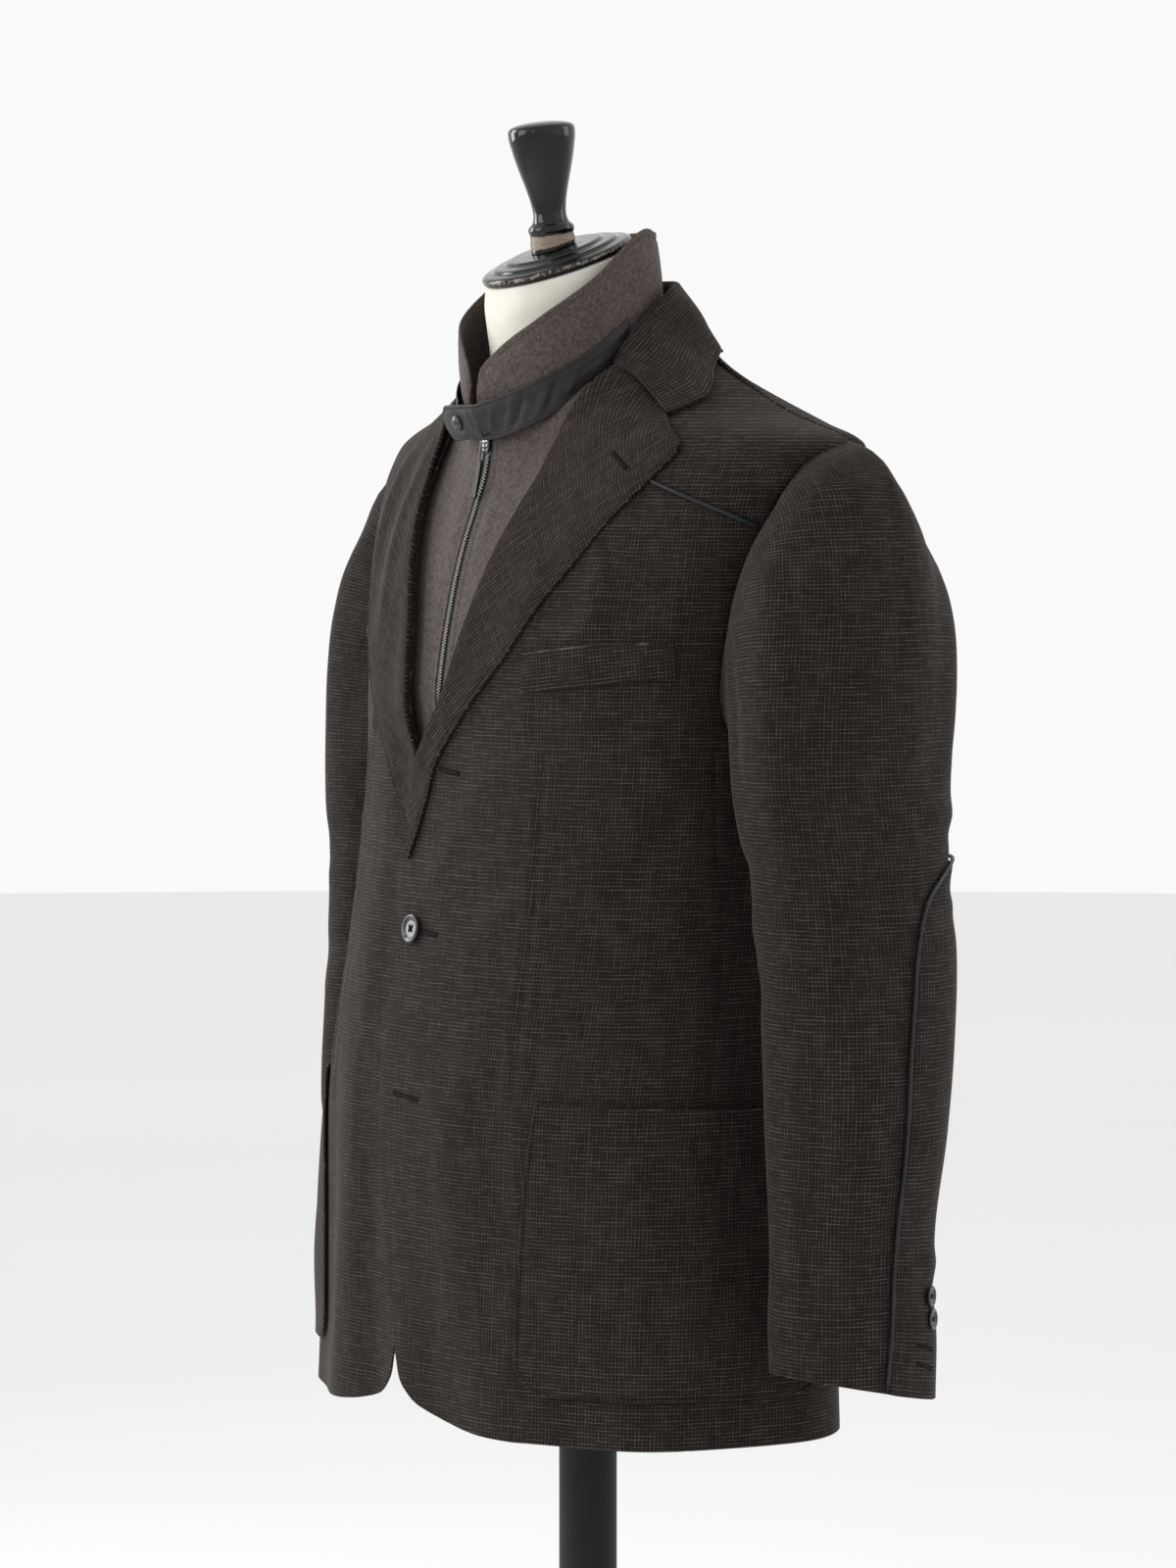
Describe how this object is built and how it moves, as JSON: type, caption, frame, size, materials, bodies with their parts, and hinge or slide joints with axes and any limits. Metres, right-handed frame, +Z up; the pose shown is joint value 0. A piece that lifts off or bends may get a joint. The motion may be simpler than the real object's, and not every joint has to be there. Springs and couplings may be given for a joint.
{
  "type": "moleskin jacket with zip-in wool dickey on a limbless dress form",
  "caption": "Tailored moleskin jacket with patch pockets and elbow patches over a wool stand-collar dickey, on a limbless dress form with a round base.",
  "frame": {"origin": "centre of the base plate's underside, on the pole's axis at the floor", "axes": "+Z up; the jacket's front faces -Y; +X is the wearer's left"},
  "size_m": [0.6572, 0.4, 1.605],
  "materials": {
    "moleskin": "napped dark brown moleskin with a fine light grid",
    "wool_felt": "felted grey-brown melange wool",
    "strap_leather": "smooth charcoal leather, edge stitched",
    "piping_leather": "blue-black leather piping",
    "button_horn": "dark polished horn",
    "form_canvas": "ivory canvas over the form",
    "black_lacquer": "black gloss lacquer on turned wood, worn at the edges",
    "black_paint": "flat black",
    "zip_metal": "dark gunmetal",
    "zip_tape": "black woven tape"
  },
  "bodies": {
    "jacket_on_stand": {"front_left": "moleskin", "front_right": "moleskin", "front_yoke_left": "moleskin", "front_yoke_right": "moleskin", "side_panel_left": "moleskin", "side_panel_right": "moleskin", "back_left": "moleskin", "back_right": "moleskin", "sleeve_upper_left": "moleskin", "sleeve_under_left": "moleskin", "sleeve_upper_right": "moleskin", "sleeve_under_right": "moleskin", "elbow_patch_left": "moleskin", "elbow_patch_right": "moleskin", "elbow_piping_left": "piping_leather", "elbow_piping_right": "piping_leather", "yoke_piping_left": "piping_leather", "yoke_piping_right": "piping_leather", "lapel_left": "moleskin", "lapel_right": "moleskin", "collar": "moleskin", "patch_pocket_left": "moleskin", "patch_pocket_right": "moleskin", "breast_welt_pocket": "moleskin", "dickey_left": "wool_felt", "dickey_right": "wool_felt", "dickey_stand_collar": "wool_felt", "throat_strap_left": "strap_leather", "throat_strap_right": "strap_leather", "throat_strap_tab": "strap_leather", "throat_strap_snap": "button_horn", "front_button": "button_horn", "cuff_button_left_1": "button_horn", "cuff_button_left_2": "button_horn", "cuff_button_right_1": "button_horn", "cuff_button_right_2": "button_horn", "zip_tape": "zip_tape", "zip_chain": "zip_metal", "zip_slider": "zip_metal", "form_body": "form_canvas", "neck_cap": "black_lacquer", "neck_finial": "black_lacquer", "stand_pole": "black_paint", "stand_base": "black_paint"},
    "zip_pull": {"zip_pull_link": "zip_metal", "zip_pull_tab": "zip_metal"}
  },
  "joints": [
    {"name": "zip_pull_hinge", "type": "hinge", "parent": "jacket_on_stand", "child": "zip_pull", "pos_m": [0, -0.08525, 1.38621], "axis": [-1, 0, 0], "range_deg": [0, 75]}
  ]
}
